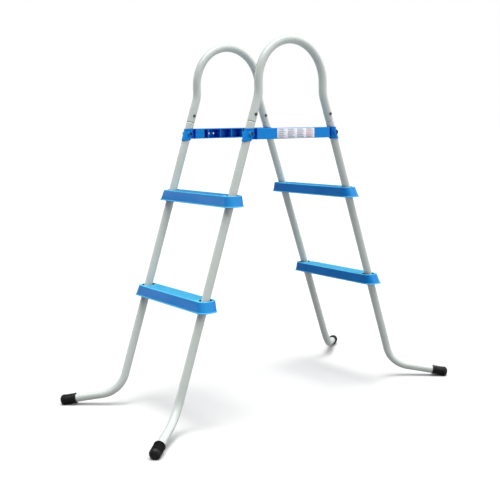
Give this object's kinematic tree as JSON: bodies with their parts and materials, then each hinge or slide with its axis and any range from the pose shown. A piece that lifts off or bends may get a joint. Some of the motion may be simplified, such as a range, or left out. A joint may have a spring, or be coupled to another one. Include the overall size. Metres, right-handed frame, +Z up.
{
  "type": "pool ladder",
  "caption": "A-frame ladder for an above-ground pool: splayed tube legs, moulded treads each side, side bars and hoop handrails.",
  "frame": {"origin": "on the ground, in the middle of the four feet", "axes": "+X across the pool wall from the left flight to the right flight, +Y along the treads from the near to the far side frame, +Z up"},
  "size_m": [1.2062, 0.6046, 1.1517],
  "materials": {
    "tube_paint": "light grey powder coat, satin",
    "bar_plastic": "moulded blue plastic, satin",
    "tread_plastic": "moulded blue plastic, fine grain",
    "cap_rubber": "black moulded rubber",
    "label_film": "white film",
    "dark_fastener": "dark zinc plate"
  },
  "bodies": {
    "root": {"handrail_far": "tube_paint", "handrail_near": "tube_paint", "leg_near_left": "tube_paint", "leg_near_right": "tube_paint", "leg_far_left": "tube_paint", "leg_far_right": "tube_paint", "side_bar_far": "bar_plastic", "side_bar_near": "bar_plastic", "tread_lower_left": "tread_plastic", "tread_lower_right": "tread_plastic", "tread_upper_left": "tread_plastic", "tread_upper_right": "tread_plastic", "foot_cap_near_left": "cap_rubber", "foot_cap_near_right": "cap_rubber", "foot_cap_far_left": "cap_rubber", "foot_cap_far_right": "cap_rubber", "label_panel": "label_film", "joint_bolts": "dark_fastener", "joint_nuts": "dark_fastener", "bar_bolts": "dark_fastener", "bar_nuts": "dark_fastener", "bar_washers": "dark_fastener", "tread_screws": "dark_fastener"}
  },
  "joints": []
}
